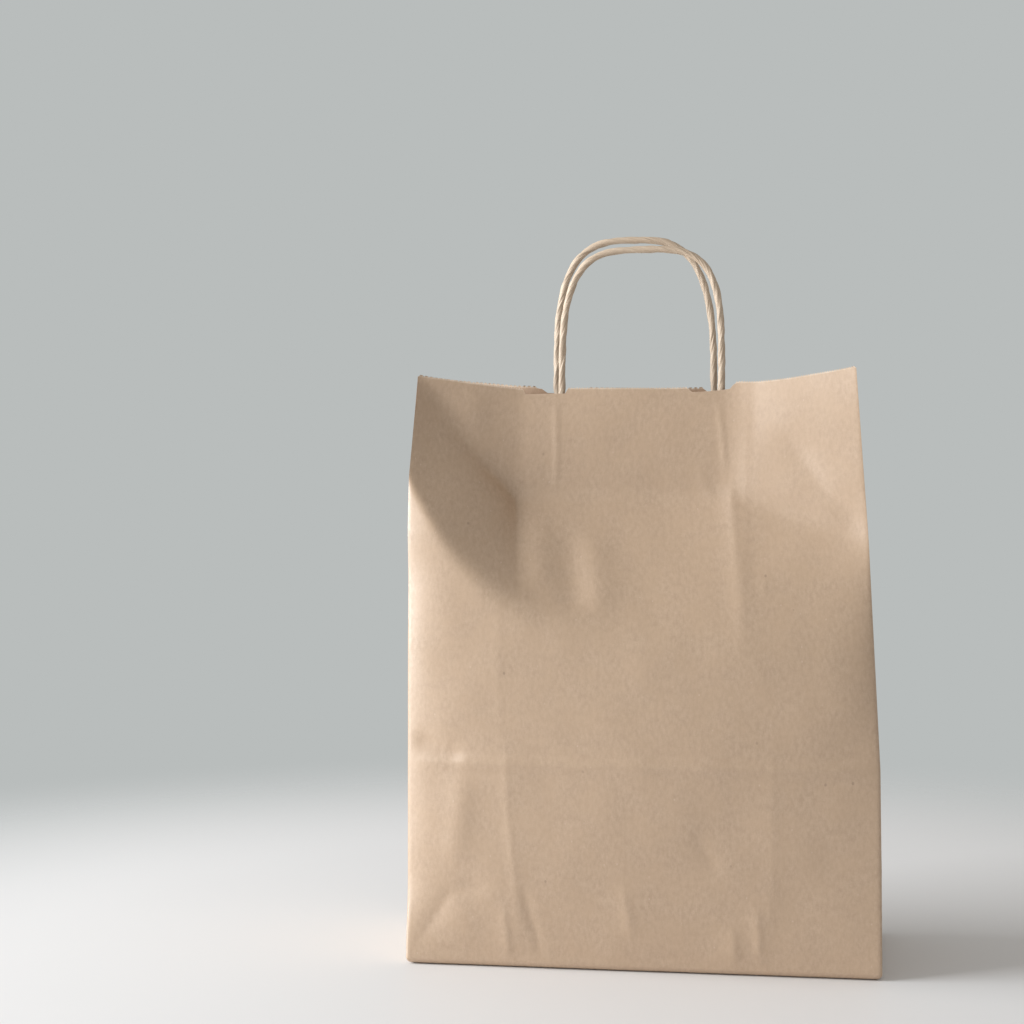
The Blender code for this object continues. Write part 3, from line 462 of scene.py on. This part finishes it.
def buildBody(front, back, materials):
    rows = np.linspace(sheet["foldRadius"], sheet["height"] - sheet["toothPitch"], bodyMesh["rows"])
    rows = np.append(rows, sheet["height"] - sheet["toothDepth"])
    # the band between the last two rows takes the pale cut-edge finish, a painted highlight along the top
    # edge
    rows[-2] = rows[-1] - sheet["highlightBand"]
    frontColumns = sheetColumns(sheet["toothPitch"])
    lapLines = [bodyMesh["lapEdge"] + part for part in bodyMesh["lapLines"]]
    backColumns = sheetColumns(2 * sheet["toothPitch"], lapLines)[::-1]
    inset = sheet["cornerRound"] / (2 * sheet["halfDepth"])
    shares = np.linspace(inset, 1 - inset, bodyMesh["gussetColumns"] + 1)
    lowered = np.clip((rows - rows[-1]) / notches["reach"] + 1, 0.0, 1.0)
    frontDrop = notchDrop(frontColumns, front.notchShift)
    backDrop = notchDrop(backColumns, back.notchShift)
    frontUp = rows[:, None] - lowered[:, None] * frontDrop[None, :]
    backUp = rows[:, None] - lowered[:, None] * backDrop[None, :]
    frontPart = front.sample(frontColumns[None, :], frontUp)
    backPart = back.sample(backColumns[None, :], backUp)
    backPart[..., 1] += bodyMesh["lapStep"] * (backColumns < bodyMesh["lapEdge"])    # the glued lap
    folded = rows > frontForm["leanStart"]
    halves = [slice(0, len(shares) // 2), slice(len(shares) // 2, None)]
    pleats = []
    for side, frontEnd, backEnd in ((1, -1, 0), (-1, 0, -1)):
        spread = 2 * sheet["halfDepth"] - front.cornerDepth(rows, side) - back.cornerDepth(rows, side)
        pleat = gussetPlaces(frontPart[:, frontEnd], backPart[:, backEnd], spread, shares[::side], rows, side)
        nearFront, nearBack = halves[::side]
        for part, panel, facing, end in (
            (nearFront, frontPart, -1, frontEnd),
            (nearBack, backPart, 1, backEnd),
        ):
            kept = keepBehind(pleat[:, part], panel, facing, panel[:, end, 0])
            pleat[folded, part, 1] = kept[folded]
        pleats.append(pleat)
    walls = np.concatenate([frontPart, pleats[0], backPart, pleats[1]], axis=1)
    starts = [0, len(frontColumns) - 1, len(frontColumns) + len(shares)]
    for index in starts + [starts[2] + len(backColumns) - 1]:
        around = walls[:, index - 1] + walls[:, (index + 1) % walls.shape[1]]
        kept = bodyMesh["cornerShare"]
        walls[:, index] = kept * walls[:, index] + (1 - kept) / 2 * around

    radius = sheet["foldRadius"]
    bottom = []
    for k in range(bodyMesh["roundRows"]):
        angle = 0.5 * math.pi * k / bodyMesh["roundRows"]
        inset = radius * (1 - math.sin(angle))
        ring = walls[0].copy()
        ring[:, 0] *= 1 - inset / sheet["halfWidth"]
        ring[:, 1] *= 1 - inset / sheet["halfDepth"]
        ring[:, 2] = sheet["baseLevel"] + radius * (1 - math.cos(angle))
        bottom.append(ring)
    outer = np.concatenate([np.array(bottom), walls])
    alongUp = np.gradient(outer, axis=0)
    alongRing = np.roll(outer, -1, axis=1) - np.roll(outer, 1, axis=1)
    inner = outer - unit(np.cross(alongRing, alongUp)) * sheet["paper"]
    inner[0, :, 2] = sheet["baseLevel"] + sheet["paper"]

    mesh = bmesh.new()
    count = outer.shape[1]
    skins = [[[mesh.verts.new(place) for place in ring] for ring in skin] for skin in (outer, inner)]
    for index, skin in enumerate(skins):
        for low, high in zip(skin[:-2], skin[1:-1]):
            for k in range(count):
                after = (k + 1) % count
                quad = (low[k], low[after], high[after], high[k])
                face = mesh.faces.new(quad if index == 0 else quad[::-1])
                face.material_index = index

    ringLength = runLength(outer[bodyMesh["girthRow"]])
    places = {}
    for skin in skins:
        for ring, height in zip(skin, [0.0] * bodyMesh["roundRows"] + list(rows)):
            for k, vertex in enumerate(ring):
                places[vertex] = (ringLength[k], height)

    # zigzag cut: teeth stand on the last row, none in the notches
    drop = np.zeros(count)
    drop[:len(frontColumns)] = frontDrop
    drop[starts[2]:starts[2] + len(backColumns)] = backDrop
    rims = []
    for index, skin in enumerate((outer, inner)):
        upward = unit(skin[-1] - skin[-2])
        rim = []
        for k in range(count):
            after = (k + 1) % count
            width = np.linalg.norm(skin[-1, after] - skin[-1, k])
            teeth = round(width / sheet["toothPitch"])
            tall = sheet["toothDepth"] * (max(drop[k], drop[after]) == 0)
            points = []
            for n in range(1, 2 * teeth):
                share = n / (2 * teeth)
                place = skin[-1, k] * (1 - share) + skin[-1, after] * share
                points.append(mesh.verts.new(place + upward[k] * tall * (n % 2)))
                places[points[-1]] = (ringLength[k] + share * width, rows[-1] + tall * (n % 2))
            # the teeth and the band below them take the pale cut-edge finish, which paints a highlight along
            # the top edge
            low, high = skins[index][-2], skins[index][-1]
            outline = [low[k], low[after], high[after]] + points[::-1] + [high[k]]
            face = mesh.faces.new(outline if index == 0 else outline[::-1])
            face.material_index = 2
            rim += [high[k]] + points
        rims.append(rim)
    for k in range(len(rims[0])):
        after = (k + 1) % len(rims[0])
        face = mesh.faces.new((rims[0][k], rims[0][after], rims[1][after], rims[1][k]))
        face.material_index = 2
    mesh.faces.new(skins[0][0][::-1])
    mesh.faces.new(skins[1][0]).material_index = 1
    full = 2 * (sheet["halfDepth"] - sheet["foldRadius"] - flaps["margin"])
    reach = (full + flaps["overlap"]) / 2
    addFlap(mesh, -1, reach, sheet["paper"])
    addFlap(mesh, 1, reach, 0.0)
    bmesh.ops.triangulate(mesh, faces=[face for face in mesh.faces if len(face.verts) > 4])
    layer = mesh.loops.layers.uv.new("sheetPlace")
    for face in mesh.faces:
        if any(loop.vert not in places for loop in face.loops) or abs(face.normal.z) > 0.9:
            for loop in face.loops:
                loop[layer].uv = loop.vert.co.xy
            continue
        along = [places[loop.vert][0] for loop in face.loops]
        for loop, u in zip(face.loops, along):
            if max(along) - u > ringLength[-1] / 2:
                u += ringLength[-1]
            loop[layer].uv = (u, places[loop.vert][1])
    return addMesh("bagBody", mesh, materials, bodyMesh["sharp"])


# The handles: rolled and twisted paper

cord = {
    "diameter": 0.0036, "spacing": 0.0830, "anchor": 0.047, "pitch": 0.033, "step": 0.0007, "sides": 40,
    "laps": 2, "lapStep": 0.15, "lapEdge": 0.10, "lapMean": 0.35, "sharp": 60, "loopPoints": 720,
    "creases": 7, "creaseDepth": 0.035, "swell": 0.03, "swellPitch": 0.041,
}
frontLoop = {"shift": 0.0008, "rise": 0.0704, "leftPower": 3.3, "rightPower": 3.8}
rearLoop = {"shift": -0.0028, "rise": 0.0769, "leftPower": 3.3, "rightPower": 2.95}


def handlePath(panel, loop):
    lay = 2 * sheet["paper"] + 2 * strips["gap"] + cord["diameter"] / 2
    foot = sheet["height"] - cord["anchor"]
    legs = [loop["shift"] + side * cord["spacing"] / 2 for side in (-1, 1)]
    feet = [panel.sample(across, foot, lay) for across in legs]
    tops = [panel.sample(across, sheet["height"], lay) for across in legs]
    centre = (tops[0] + tops[1]) / 2
    halfSpan = (tops[1] - tops[0]) / 2
    points = [feet[0]]
    for k in range(cord["loopPoints"] + 1):
        angle = math.pi * (1 - k / cord["loopPoints"])
        share = 0.5 - 0.5 * math.cos(angle)
        power = loop["rightPower"] * (1 - share) + loop["leftPower"] * share
        wide = math.copysign(abs(math.cos(angle)) ** (2 / power), math.cos(angle))
        high = abs(math.sin(angle)) ** (2 / power)
        points.append(centre + halfSpan * wide + np.array([0.0, 0.0, loop["rise"] * high]))
    points.append(feet[1])
    points = np.array(points)
    lengths = runLength(points)
    stations = np.linspace(0.0, lengths[-1], round(lengths[-1] / cord["step"]) + 1)
    return np.stack([np.interp(stations, lengths, points[:, axis]) for axis in range(3)], axis=1)


def cordRadius(turn, length, waves):    # two rolled edges wind around the cord, with fine wrinkles
    share = (turn / (2 * math.pi) * cord["laps"]) % 1.0
    edge = cord["lapEdge"]
    fall = np.where(share < 1 - edge, share / (1 - edge), (1 - share) / edge)
    radius = 1 - cord["lapStep"] * fall
    for phase, lobes, pitch in waves:
        wrinkle = np.sin(lobes * turn + 2 * math.pi * length / pitch + phase)
        radius = radius + cord["creaseDepth"] / 2 * wrinkle
    return cord["diameter"] / 2 * (1 + cord["lapStep"] * cord["lapMean"]) * radius


def buildCord(name, panel, loop, seed, material):
    path = handlePath(panel, loop)
    rng = np.random.default_rng(seed)
    waves = []    # phase, lobes and pitch of each wrinkle
    for _ in range(cord["creases"]):
        waves.append((rng.uniform(0, 6.28), int(rng.integers(2, 9)), rng.uniform(0.012, 0.07)))
    ahead = unit(np.gradient(path, axis=0))
    length = runLength(path)
    across = unit(np.cross(np.array([0.0, 1.0, 0.0]), ahead))
    depthAxis = np.cross(ahead, across)
    turn = np.linspace(0, 2 * math.pi, cord["sides"], endpoint=False)[None, :]
    angle = turn + 2 * math.pi * length[:, None] / cord["pitch"]
    radius = cordRadius(turn, length[:, None], waves)
    radius = radius * (1 + cord["swell"] * np.sin(2 * math.pi * length[:, None] / cord["swellPitch"] + seed))
    place = (path[:, None] + radius[..., None] * (np.cos(angle)[..., None] * across[:, None]
             + np.sin(angle)[..., None] * depthAxis[:, None]))
    mesh = bmesh.new()
    rings = [[mesh.verts.new(point) for point in ring] for ring in place]
    layer = mesh.loops.layers.uv.new("sheetPlace")
    sides = cord["sides"]
    for j in range(len(rings) - 1):
        for n in range(sides):
            after = (n + 1) % sides
            face = mesh.faces.new((rings[j][n], rings[j][after], rings[j + 1][after], rings[j + 1][n]))
            for loopPart, (u, v) in zip(face.loops, ((n, j), (n + 1, j), (n + 1, j + 1), (n, j + 1))):
                loopPart[layer].uv = (u / sides * math.pi * cord["diameter"], length[v])
    mesh.faces.new(rings[0][::-1])
    mesh.faces.new(rings[-1])
    bmesh.ops.recalc_face_normals(mesh, faces=mesh.faces[:])
    return addMesh(name, mesh, [material], cord["sharp"])


def drape(distance):    # height of the cover over a cord: a round top with straight sides
    radius = cord["diameter"] / 2 * strips["crown"] + strips["gap"]
    centre = cord["diameter"] / 2 + strips["gap"]
    foot = strips["spread"] * cord["diameter"] / 2
    tilt = math.atan2(centre, foot) + math.asin(min(1.0, radius / math.hypot(foot, centre)))
    tangent = radius * math.sin(tilt)
    distance = np.abs(distance)
    crown = centre + np.sqrt(np.maximum(radius ** 2 - distance ** 2, 0.0))
    side = np.maximum(foot - distance, 0.0) * math.tan(tilt)
    return np.where(distance < tangent, crown, side)


def buildStrip(name, panel, loop, lay, covers, material):
    low, high = loop["shift"] - strips["width"] / 2, loop["shift"] + strips["width"] / 2
    bottom = sheet["height"] - strips["top"] - strips["height"]
    foot = sheet["height"] - cord["anchor"]
    columns = np.linspace(low, high, round(strips["width"] / strips["step"] * (2 if covers else 1)) + 1)
    rows = np.linspace(bottom, bottom + strips["height"], round(strips["height"] / strips["step"]) + 1)
    across, up = np.meshgrid(columns, rows)
    rise = np.zeros(across.shape)
    if covers:
        for side in (-1, 1):
            rise = np.maximum(rise, drape(across - loop["shift"] - side * cord["spacing"] / 2))
        rise = rise * ease((up - foot + strips["tail"]) / strips["tail"])
    skins = [panel.sample(across, up, lay + rise + layer * sheet["paper"]) for layer in (0, 1)]
    mesh = bmesh.new()
    near, far = [[[mesh.verts.new(place) for place in line] for line in skin] for skin in skins]
    for j in range(len(rows) - 1):
        for k in range(len(columns) - 1):
            mesh.faces.new((near[j][k], near[j][k + 1], near[j + 1][k + 1], near[j + 1][k]))
            mesh.faces.new((far[j][k], far[j + 1][k], far[j + 1][k + 1], far[j][k + 1]))
        for k in (0, len(columns) - 1):
            mesh.faces.new((near[j][k], near[j + 1][k], far[j + 1][k], far[j][k]))
    for k in range(len(columns) - 1):
        for j in (0, len(rows) - 1):
            mesh.faces.new((near[j][k], near[j][k + 1], far[j][k + 1], far[j][k]))
    bmesh.ops.recalc_face_normals(mesh, faces=mesh.faces[:])
    layer = mesh.loops.layers.uv.new("sheetPlace")
    for face in mesh.faces:
        for loopPart in face.loops:
            loopPart[layer].uv = (loopPart.vert.co.x, loopPart.vert.co.z)
    return addMesh(name, mesh, [material], bodyMesh["sharp"])


# Finishes

pulp = {
    "clouds": (75, 3.0, 0.55),        # noise scale, detail and roughness
    "mottle": (480, 4.0, 0.62), "mottleStretch": (1.0, 0.55, 1.0),
    "threads": (1.0, 2.0, 0.55), "upright": (2600, 420, 1.0), "lying": (520, 2300, 1.0),
    "threadShares": (0.55, 0.45), "fibreShares": (0.60, 0.40), "heightShares": (0.7, 0.3),
    "cloudRange": (0.30, 0.70), "fibreRange": (0.33, 0.67),
    "fleckCore": 0.45, "fleckFade": 0.12,
}
fleckKinds = {
    "Light Flecks": {"size": 0.15, "scale": (310, 210, 1.0), "from": 0.84},
    "Dark Flecks": {"size": 0.13, "scale": (150, 118, 1.0), "from": 0.88},
}


def newGroup(name, inputs, outputs):
    group = bpy.data.node_groups.new(name, "ShaderNodeTree")
    for label, kind, value in inputs:
        socket = group.interface.new_socket(label, in_out="INPUT", socket_type=kind)
        if value is not None:
            socket.default_value = value
    for label, kind in outputs:
        group.interface.new_socket(label, in_out="OUTPUT", socket_type=kind)
    return group, group.nodes.new("NodeGroupInput"), group.nodes.new("NodeGroupOutput")


def addMath(tree, operation, first, second=None, third=None):
    node = tree.nodes.new("ShaderNodeMath")
    node.operation = operation
    for socket, value in zip(node.inputs, (first, second, third)):
        if value is None:
            continue
        if isinstance(value, (int, float)):
            socket.default_value = value
        else:
            tree.links.new(value, socket)
    return node.outputs[0]


def addShares(tree, first, second, shares):
    parts = [addMath(tree, "MULTIPLY", value, share) for value, share in zip((first, second), shares)]
    return addMath(tree, "ADD", *parts)


def addRange(tree, value, low, high, toLow=0.0, toHigh=1.0):
    node = tree.nodes.new("ShaderNodeMapRange")
    node.interpolation_type = "SMOOTHSTEP"
    tree.links.new(value, node.inputs["Value"])
    for label, number in (("From Min", low), ("From Max", high), ("To Min", toLow), ("To Max", toHigh)):
        node.inputs[label].default_value = number
    return node.outputs["Result"]


def stretched(tree, vector, scale):
    node = tree.nodes.new("ShaderNodeMapping")
    tree.links.new(vector, node.inputs["Vector"])
    node.inputs["Scale"].default_value = scale
    return node.outputs["Vector"]


def addNoise(tree, vector, scale, detail, roughness=0.5):
    node = tree.nodes.new("ShaderNodeTexNoise")
    tree.links.new(vector, node.inputs["Vector"])
    node.inputs["Scale"].default_value = scale
    node.inputs["Detail"].default_value = detail
    node.inputs["Roughness"].default_value = roughness
    return node.outputs["Fac"]


def fibreGroup():    # pulp clouds, short fibres and flecks, in metres of sheet
    group, source, result = newGroup(
        "paperFibres",
        [("Vector", "NodeSocketVector", None), ("Fleck Amount", "NodeSocketFloat", 0.5)],
        [("Clouds", "NodeSocketFloat"), ("Fibres", "NodeSocketFloat"), ("Light Flecks", "NodeSocketFloat"),
         ("Dark Flecks", "NodeSocketFloat"), ("Height", "NodeSocketFloat")],
    )
    vector = source.outputs["Vector"]
    link = group.links.new
    clouds = addNoise(group, vector, *pulp["clouds"])
    mottle = addNoise(group, stretched(group, vector, pulp["mottleStretch"]), *pulp["mottle"])
    upright = addNoise(group, stretched(group, vector, pulp["upright"]), *pulp["threads"])
    lying = addNoise(group, stretched(group, vector, pulp["lying"]), *pulp["threads"])
    threads = addShares(group, upright, lying, pulp["threadShares"])
    fibres = addShares(group, mottle, threads, pulp["fibreShares"])
    link(addRange(group, clouds, *pulp["cloudRange"]), result.inputs["Clouds"])
    link(addRange(group, fibres, *pulp["fibreRange"]), result.inputs["Fibres"])
    for label, kind in fleckKinds.items():
        cells = group.nodes.new("ShaderNodeTexVoronoi")
        link(stretched(group, vector, kind["scale"]), cells.inputs["Vector"])
        cells.inputs["Scale"].default_value = 1.0
        spot = addRange(group, cells.outputs["Distance"], kind["size"], kind["size"] * pulp["fleckCore"])
        split = group.nodes.new("ShaderNodeSeparateColor")
        link(cells.outputs["Color"], split.inputs["Color"])
        chosen = addRange(group, split.outputs["Red"], kind["from"], kind["from"] + pulp["fleckFade"])
        amount = addMath(group, "MULTIPLY", spot, chosen)
        link(addMath(group, "MULTIPLY", amount, source.outputs["Fleck Amount"]), result.inputs[label])
    link(addShares(group, fibres, clouds, pulp["heightShares"]), result.inputs["Height"])
    return group


def mixColour(tree, factor, first, second):
    node = tree.nodes.new("ShaderNodeMix")
    node.data_type = "RGBA"
    tree.links.new(factor, node.inputs["Factor"])
    for label, value in (("A", first), ("B", second)):
        socket = [s for s in node.inputs if s.name == label and s.type == "RGBA"][0]
        if isinstance(value, tuple):
            socket.default_value = (*value, 1.0)
        else:
            tree.links.new(value, socket)
    return [s for s in node.outputs if s.type == "RGBA"][0]


def paperMaterial(name, look, fibres):
    material = bpy.data.materials.new(name)
    material.use_nodes = True
    tree = material.node_tree
    shader = tree.nodes["Principled BSDF"]
    place = tree.nodes.new("ShaderNodeUVMap")
    place.uv_map = "sheetPlace"
    group = tree.nodes.new("ShaderNodeGroup")
    group.node_tree = fibres
    tree.links.new(stretched(tree, place.outputs["UV"], look["scale"]), group.inputs["Vector"])
    group.inputs["Fleck Amount"].default_value = look["flecks"]
    colour = mixColour(tree, group.outputs["Fibres"], look["dark"], look["light"])
    clouded = addMath(tree, "MULTIPLY", group.outputs["Clouds"], look["clouds"])
    toned = mixColour(tree, clouded, colour, look["tone"])
    pale = mixColour(tree, group.outputs["Light Flecks"], toned, look["paleFleck"])
    final = mixColour(tree, group.outputs["Dark Flecks"], pale, look["darkFleck"])
    tree.links.new(final, shader.inputs["Base Color"])
    roughest, finest = look["roughness"] + look["roughSpread"], look["roughness"] - look["roughSpread"]
    rough = addRange(tree, group.outputs["Fibres"], 0.0, 1.0, roughest, finest)
    tree.links.new(rough, shader.inputs["Roughness"])
    shader.inputs["Specular IOR Level"].default_value = look["specular"]
    bump = tree.nodes.new("ShaderNodeBump")
    bump.inputs["Strength"].default_value = look["bump"]
    bump.inputs["Distance"].default_value = look["relief"]
    tree.links.new(group.outputs["Height"], bump.inputs["Height"])
    tree.links.new(bump.outputs["Normal"], shader.inputs["Normal"])
    return material


kraft = {
    "dark": (0.440, 0.302, 0.198), "light": (0.540, 0.390, 0.268), "scale": (1.0, 1.0, 1.0),
    "tone": (0.505, 0.352, 0.229), "clouds": 0.5,
    "paleFleck": (0.62, 0.48, 0.36), "darkFleck": (0.26, 0.17, 0.11), "flecks": 0.55,
    "roughness": 0.44, "roughSpread": 0.05, "specular": 1.0, "bump": 0.6, "relief": 0.00006,
}
kraftInside = dict(kraft, dark=(0.430, 0.278, 0.178), light=(0.520, 0.350, 0.235), roughness=0.75, bump=0.8)
# paler finish of the cut edge, its teeth and the band below them: partly the paler cut edge, partly a painted
# highlight along the top edge
cutEdgeHighlight = dict(kraft, dark=(0.60, 0.47, 0.35), light=(0.70, 0.57, 0.44), roughness=0.8, flecks=0.0)
stripPaper = dict(kraft, dark=(0.410, 0.283, 0.188), light=(0.500, 0.355, 0.245), roughness=0.7)
twisted = dict(
    kraft, dark=(0.415, 0.305, 0.210), light=(0.600, 0.475, 0.350), tone=(0.51, 0.385, 0.27),
    scale=(1.0, 0.12, 1.0), roughness=0.62, flecks=0.35, bump=0.8, relief=0.00010,
)

print("paper finishes")
fibres = fibreGroup()
sheetFinishes = [
    paperMaterial("kraftOutside", kraft, fibres),
    paperMaterial("kraftInside", kraftInside, fibres),
    paperMaterial("cutEdgeHighlight", cutEdgeHighlight, fibres),
]
stripFinish = paperMaterial("stripPaper", stripPaper, fibres)
cordFinish = paperMaterial("twistedPaper", twisted, fibres)

print("panels")
frontPanel = Panel(frontForm, -1, frontMarks, cockle["seed"])
backPanel = Panel(backForm, 1, backMarks, cockle["seed"] + 1)

print("folded sheet")
bagBody = buildBody(frontPanel, backPanel, sheetFinishes)
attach(bagBody, "root")
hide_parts("bag_body")

print("handles and their strips")
backingLay = sheet["paper"] + strips["gap"]
coverLay = backingLay + sheet["paper"] + strips["gap"]
for prefix, panel, loop, seed in (("front", frontPanel, frontLoop, 3), ("rear", backPanel, rearLoop, 8)):
    handle = buildCord(prefix + "Handle", panel, loop, seed, cordFinish)
    backing = buildStrip(prefix + "PatchBacking", panel, loop, backingLay, False, stripFinish)
    cover = buildStrip(prefix + "HandlePatch", panel, loop, coverLay, True, stripFinish)
    for piece, node, slot in (
        (handle, "_handle", "twisted_paper"),
        (backing, "_patch_backing", "kraft_strip"),
        (cover, "_handle_patch", "kraft_strip"),
    ):
        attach(piece, "root")
        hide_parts(prefix + node)

# Floor, backdrop, light and camera

stage = {
    "floor": (0.76, 0.75, 0.745), "grain": 0.985, "grainNoise": (9.0, 2.0), "roughness": 0.55,
    "radius": 3.0, "fadeFrom": 0.32, "fadeTo": 0.75,    # where the floor fades into the backdrop
    "backdrop": (0.485, 0.508, 0.503),
}
light = {
    "world": 0.48, "worldColour": (1.0, 0.975, 0.940),
    "window": 84.0, "windowColour": (0.94, 0.97, 1.0), "windowSize": (1.5, 1.9),
    "windowPlace": (-1.9, -0.55, 0.75), "windowTarget": (0.0, 0.0, 0.15),
}
view = {
    "place": (0.1076, -1.1637, 0.2662), "pitch": 88.2, "yaw": 8.85,
    "focal": 2232.0, "pixels": 1024, "sensor": 36.0,    # focal in pixels, sensor in millimetres
}


def cameraRays(tree):    # 1 for rays that see the backdrop itself
    path = tree.nodes.new("ShaderNodeLightPath")
    seen = addMath(tree, "MAXIMUM", path.outputs["Is Camera Ray"], path.outputs["Is Glossy Ray"])
    return addMath(tree, "MAXIMUM", seen, path.outputs["Is Transmission Ray"])


def buildFloor():
    mesh = bmesh.new()
    bmesh.ops.create_circle(mesh, cap_ends=True, segments=96, radius=stage["radius"])
    material = bpy.data.materials.new("paleFloor")
    material.use_nodes = True
    tree = material.node_tree
    shader = tree.nodes["Principled BSDF"]
    shader.inputs["Roughness"].default_value = stage["roughness"]
    geometry = tree.nodes.new("ShaderNodeNewGeometry")
    length = tree.nodes.new("ShaderNodeVectorMath")
    length.operation = "LENGTH"
    tree.links.new(geometry.outputs["Position"], length.inputs[0])
    fade = addRange(tree, length.outputs["Value"], stage["fadeFrom"], stage["fadeTo"])
    grain = addNoise(tree, geometry.outputs["Position"], *stage["grainNoise"])
    warm = tuple(stage["grain"] * part for part in stage["floor"])
    tree.links.new(mixColour(tree, grain, warm, stage["floor"]), shader.inputs["Base Color"])
    clear = tree.nodes.new("ShaderNodeBsdfTransparent")
    mix = tree.nodes.new("ShaderNodeMixShader")
    tree.links.new(addMath(tree, "MULTIPLY", fade, cameraRays(tree)), mix.inputs["Fac"])
    tree.links.new(shader.outputs["BSDF"], mix.inputs[1])
    tree.links.new(clear.outputs["BSDF"], mix.inputs[2])
    tree.links.new(mix.outputs["Shader"], tree.nodes["Material Output"].inputs["Surface"])
    floor = addMesh("floor", mesh, [material])


def buildWorld():
    world = bpy.data.worlds.new("studio")
    bpy.context.scene.world = world
    world.use_nodes = True
    tree = world.node_tree
    background = tree.nodes["Background"]
    background.inputs["Color"].default_value = (*light["worldColour"], 1.0)
    background.inputs["Strength"].default_value = light["world"]
    backdrop = tree.nodes.new("ShaderNodeBackground")
    backdrop.inputs["Color"].default_value = (*stage["backdrop"], 1.0)
    backdrop.inputs["Strength"].default_value = 1.0
    mix = tree.nodes.new("ShaderNodeMixShader")
    tree.links.new(cameraRays(tree), mix.inputs["Fac"])
    tree.links.new(background.outputs["Background"], mix.inputs[1])
    tree.links.new(backdrop.outputs["Background"], mix.inputs[2])
    tree.links.new(mix.outputs["Shader"], tree.nodes["World Output"].inputs["Surface"])


def addWindow():    # one large lamp, which looks along its own -Z
    lamp = bpy.data.lights.new("window", "AREA")
    lamp.shape = "RECTANGLE"
    lamp.size, lamp.size_y = light["windowSize"]
    lamp.energy = light["window"]
    lamp.color = light["windowColour"]
    holder = bpy.data.objects.new("window", lamp)
    holder.location = light["windowPlace"]
    aim = np.array(light["windowTarget"]) - np.array(light["windowPlace"])
    tilt = math.acos(-aim[2] / np.linalg.norm(aim))
    holder.rotation_euler = (tilt, 0.0, math.atan2(aim[1], aim[0]) - math.pi / 2)
    bpy.context.scene.collection.objects.link(holder)


def addCamera():
    camera = bpy.data.cameras.new("camera")
    camera.sensor_width = view["sensor"]
    camera.lens = view["focal"] * view["sensor"] / view["pixels"]
    holder = bpy.data.objects.new("camera", camera)
    holder.location = view["place"]
    holder.rotation_euler = (math.radians(view["pitch"]), 0.0, math.radians(view["yaw"]))
    bpy.context.scene.collection.objects.link(holder)
    bpy.context.scene.camera = holder


print("floor, light and camera")
buildFloor()
buildWorld()
addWindow()
addCamera()
bpy.context.scene.view_settings.view_transform = "Standard"
